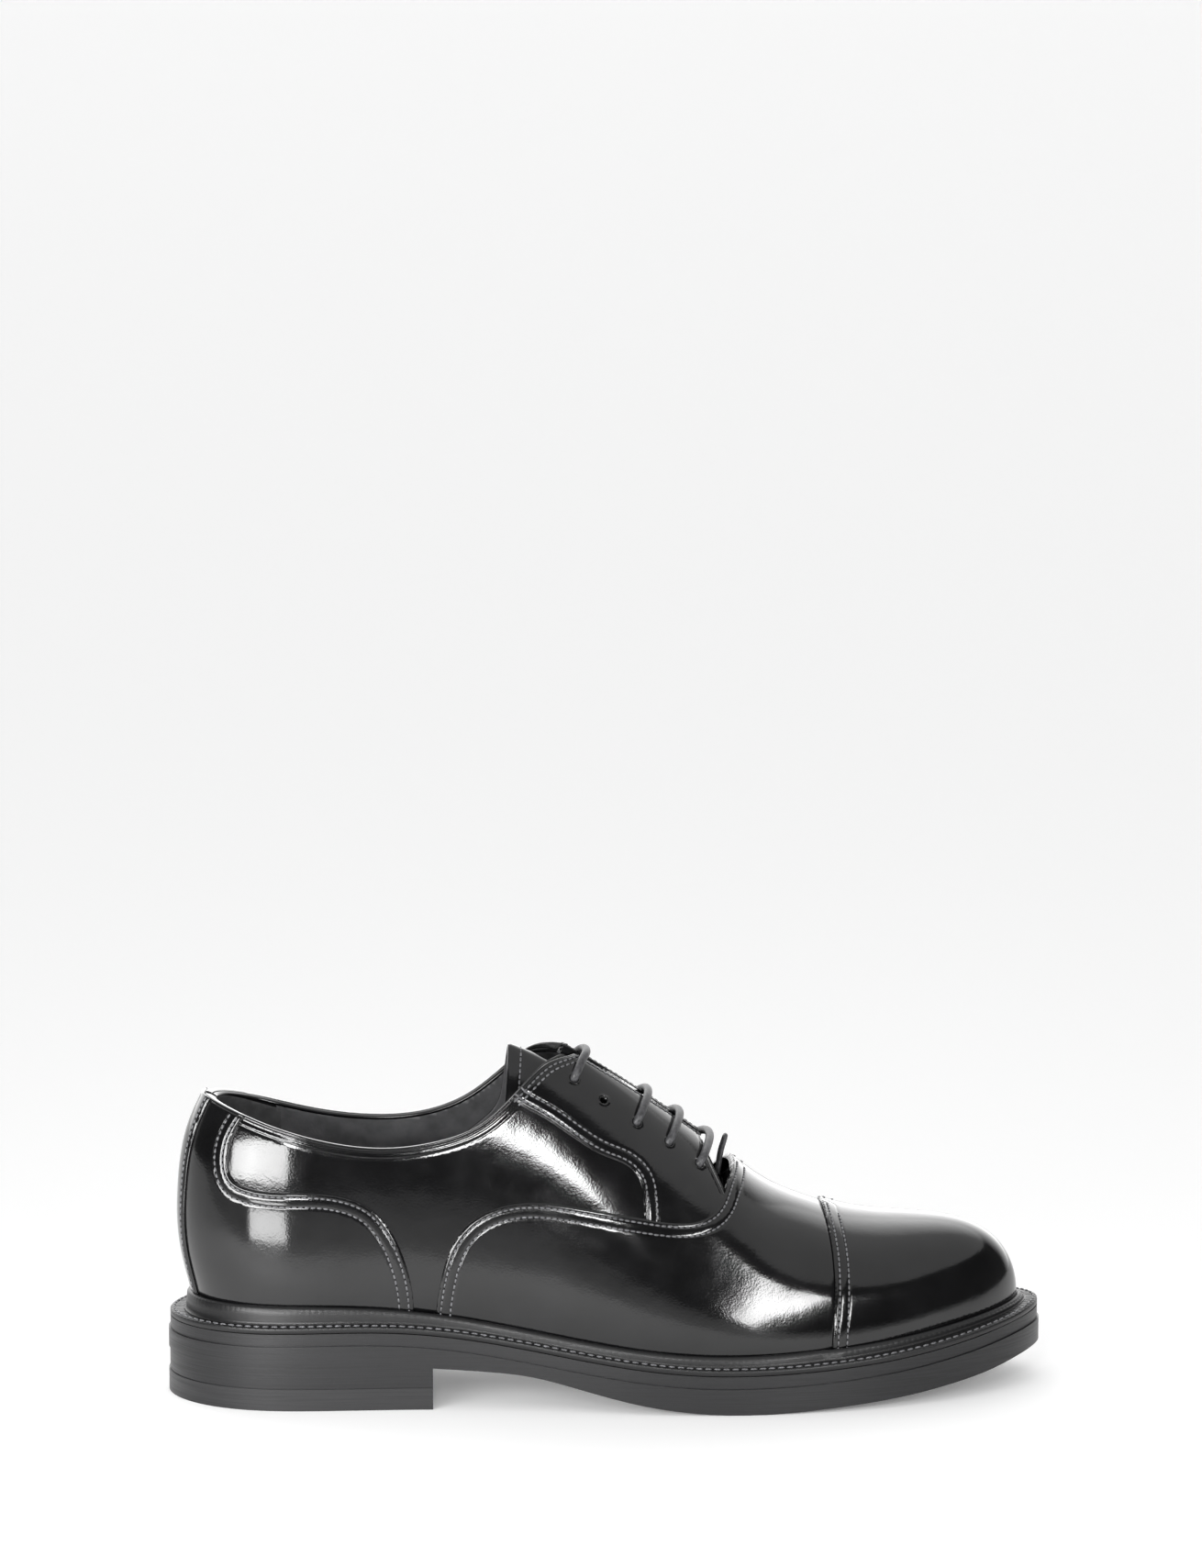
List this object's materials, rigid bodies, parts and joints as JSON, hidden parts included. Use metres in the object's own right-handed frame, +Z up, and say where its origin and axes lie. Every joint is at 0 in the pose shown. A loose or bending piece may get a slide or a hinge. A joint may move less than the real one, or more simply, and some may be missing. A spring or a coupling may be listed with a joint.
{
  "type": "oxford shoe",
  "caption": "Cap-toe leather oxford for the right foot, with closed lacing, a storm welt and a low stacked heel, made to walk in.",
  "frame": {"origin": "on the ground, at the middle of the outsole's length and width", "axes": "+X towards the toe, +Y towards the inner (medial) side of the foot, +Z up"},
  "size_m": [0.304, 0.1042, 0.1205],
  "materials": {
    "upper_leather": "polished box calf with a hand-brushed gloss",
    "sole_leather": "edge stained and waxed to a satin",
    "welt_leather": "waxed, wheel-marked and stitched",
    "insole_leather": "natural veg-tan, matt",
    "lining_leather": "soft matt calf",
    "grip_suede": "brushed suede side out",
    "interlining": "woven cotton",
    "stiffener_board": "pasted fibre board",
    "cork": "granulated cork",
    "steel": "plain rolled",
    "top_lift_rubber": "moulded, satin edge",
    "eyelet_metal": "black lacquer",
    "waxed_cord": "round braided cotton, waxed",
    "aglet_plastic": "clear-coated black film"
  },
  "bodies": {
    "shoe": {"outsole": "sole_leather", "midsole": "sole_leather", "heel_block": "sole_leather", "top_lift": "top_lift_rubber", "heel_nails": "steel", "shank": "steel", "cork_filler": "cork", "insole": "insole_leather", "sock_liner": "lining_leather", "welt": "welt_leather", "quarter_lateral": "upper_leather", "quarter_medial": "upper_leather", "facing_lateral": "upper_leather", "facing_medial": "upper_leather", "foxing_lateral": "upper_leather", "foxing_medial": "upper_leather", "backstay": "upper_leather", "vamp": "upper_leather", "toe_cap": "upper_leather", "quarter_interlining_lateral": "interlining", "quarter_interlining_medial": "interlining", "vamp_interlining": "interlining", "heel_counter": "stiffener_board", "toe_puff": "stiffener_board", "quarter_lining_lateral": "lining_leather", "quarter_lining_medial": "lining_leather", "vamp_lining": "lining_leather", "heel_grip": "grip_suede", "eyelets_lateral": "eyelet_metal", "eyelets_medial": "eyelet_metal", "lace": "waxed_cord", "lace_knot": "waxed_cord", "aglets": "aglet_plastic", "throat_tack": "waxed_cord"},
    "tongue": {"tongue": "upper_leather", "tongue_lining": "lining_leather"}
  },
  "joints": [
    {"name": "tongue_hinge", "type": "hinge", "parent": "shoe", "child": "tongue", "pos_m": [0.041, 0.003, 0.07], "axis": [0, 1, 0], "range_deg": [-12, 0], "stiffness_Nm_per_rad": 0.5}
  ]
}
